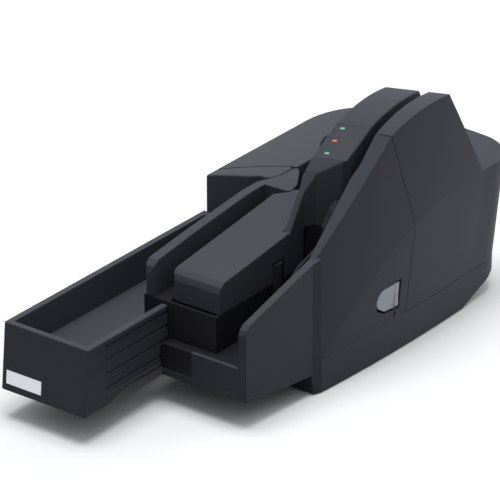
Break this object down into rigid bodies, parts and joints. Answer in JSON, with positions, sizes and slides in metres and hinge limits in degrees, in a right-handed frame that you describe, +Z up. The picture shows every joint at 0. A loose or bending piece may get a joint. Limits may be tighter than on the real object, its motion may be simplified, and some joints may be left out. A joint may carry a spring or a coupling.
{
  "type": "cheque scanner",
  "caption": "Desktop cheque scanner with an upright feeder slot, an arched fin, hinged rear covers round a U-shaped paper track, and an open stacker tray.",
  "frame": {"origin": "centre of the object's outline on the desk, at the underside of the rubber feet", "axes": "+X to the object's right, +Y to its rear, +Z up; cheques go in at the front (-Y)"},
  "size_m": [0.1708, 0.3874, 0.1841],
  "materials": {
    "case": "fine texture",
    "inner_plastic": "smooth",
    "lever_plastic": "smooth",
    "plate": "smooth",
    "green_lens": "translucent",
    "orange_lens": "translucent",
    "label": "film",
    "steel": "turned",
    "motor": "plated",
    "soft_rubber": "matt",
    "board": "lacquered"
  },
  "bodies": {
    "chassis": {"base_case": "case", "rubber_feet": "soft_rubber", "main_frame": "inner_plastic", "inner_guide": "inner_plastic", "deck_cover": "case", "centre_cover": "case", "spine_cover": "case", "front_right_cover": "case", "front_left_cover": "case", "pocket_divider": "case", "stacker_tray": "case", "blank_plate": "plate", "indicator_label": "label", "green_lenses": "green_lens", "orange_lens": "orange_lens", "rear_panel": "case", "hinge_pins": "steel", "lever_pin": "steel", "pressure_pivot": "steel", "drive_motor": "motor", "drive_belts": "soft_rubber", "main_board": "board", "usb_socket": "steel", "power_jack": "inner_plastic", "magnetic_head": "steel", "front_image_sensor": "inner_plastic", "frame_screws": "steel", "tray_screws": "steel", "base_screws": "steel"},
    "right_door": {"rear_right_cover": "case", "right_pinch_pins": "steel", "rear_image_sensor": "inner_plastic", "ink_cartridge": "inner_plastic"},
    "left_door": {"rear_left_cover": "case", "left_pinch_pin": "steel"},
    "lever": {"release_lever": "lever_plastic"},
    "pressure_arm": {"pressure_plate": "inner_plastic"},
    "pick": {"pick_roller": "soft_rubber"},
    "feed": {"feed_roller": "soft_rubber"},
    "retard": {"retard_roller": "soft_rubber"},
    "turn": {"turn_roller": "soft_rubber"},
    "exit": {"exit_roller": "soft_rubber"},
    "drive": {"drive_roller": "soft_rubber"},
    "right_pinch": {"right_pinch_roller": "soft_rubber"},
    "turn_pinch": {"turn_pinch_roller": "soft_rubber"},
    "left_pinch": {"left_pinch_roller": "soft_rubber"},
    "pulley": {"motor_pulley": "steel"},
    "rocker": {"power_switch": "inner_plastic"}
  },
  "joints": [
    {"name": "right_door_hinge", "type": "hinge", "parent": "chassis", "child": "right_door", "pos_m": [0.02358, 0.18975, 0.075], "axis": [0, 0, 1], "range_deg": [0, 90]},
    {"name": "left_door_hinge", "type": "hinge", "parent": "chassis", "child": "left_door", "pos_m": [-0.00441, 0.18975, 0.075], "axis": [0, 0, -1], "range_deg": [0, 90]},
    {"name": "lever_pull", "type": "hinge", "parent": "chassis", "child": "lever", "pos_m": [0.07619, 0.04765, 0.047], "axis": [0, 0, 1], "range_deg": [0, 25]},
    {"name": "pressure_swing", "type": "hinge", "parent": "chassis", "child": "pressure_arm", "pos_m": [0.05858, 0.00725, 0.08], "axis": [0, 0, -1], "range_deg": [0, 21]},
    {"name": "power_rock", "type": "hinge", "parent": "chassis", "child": "rocker", "pos_m": [0.00958, 0.19125, 0.03575], "axis": [1, 0, 0], "range_deg": [-8, 0]},
    {"name": "pulley_spin", "type": "hinge", "parent": "chassis", "child": "pulley", "pos_m": [-0.00042, 0.08325, 0.0345], "axis": [0, 0, 1], "continuous": true},
    {"name": "drive_spin", "type": "hinge", "parent": "chassis", "child": "drive", "pos_m": [0.05144, 0.08325, 0.075], "axis": [0, 0, 1], "continuous": true},
    {"name": "turn_spin", "type": "hinge", "parent": "chassis", "child": "turn", "pos_m": [0.03692, 0.15958, 0.075], "axis": [0, 0, 1], "continuous": true},
    {"name": "exit_spin", "type": "hinge", "parent": "chassis", "child": "exit", "pos_m": [-0.03227, 0.13025, 0.075], "axis": [0, 0, 1], "continuous": true},
    {"name": "pick_spin", "type": "hinge", "parent": "chassis", "child": "pick", "pos_m": [0.02408, -0.02875, 0.075], "axis": [0, 0, 1], "continuous": true},
    {"name": "feed_spin", "type": "hinge", "parent": "chassis", "child": "feed", "pos_m": [0.05144, 0.03125, 0.075], "axis": [0, 0, 1], "continuous": true},
    {"name": "retard_spin", "type": "hinge", "parent": "chassis", "child": "retard", "pos_m": [0.06574, 0.03125, 0.075], "axis": [0, 0, 1], "continuous": true},
    {"name": "right_pinch_spin", "type": "hinge", "parent": "right_door", "child": "right_pinch", "pos_m": [0.06574, 0.08325, 0.075], "axis": [0, 0, 1], "continuous": true},
    {"name": "turn_pinch_spin", "type": "hinge", "parent": "right_door", "child": "turn_pinch", "pos_m": [0.04929, 0.17195, 0.075], "axis": [0, 0, 1], "continuous": true},
    {"name": "left_pinch_spin", "type": "hinge", "parent": "left_door", "child": "left_pinch", "pos_m": [-0.04657, 0.13025, 0.075], "axis": [0, 0, 1], "continuous": true}
  ],
  "couplings": [
    {"joint": "pulley_spin", "follows": "drive_spin", "ratio": 1},
    {"joint": "turn_spin", "follows": "drive_spin", "ratio": 1},
    {"joint": "exit_spin", "follows": "drive_spin", "ratio": 1},
    {"joint": "pick_spin", "follows": "drive_spin", "ratio": 1},
    {"joint": "feed_spin", "follows": "drive_spin", "ratio": 1}
  ]
}
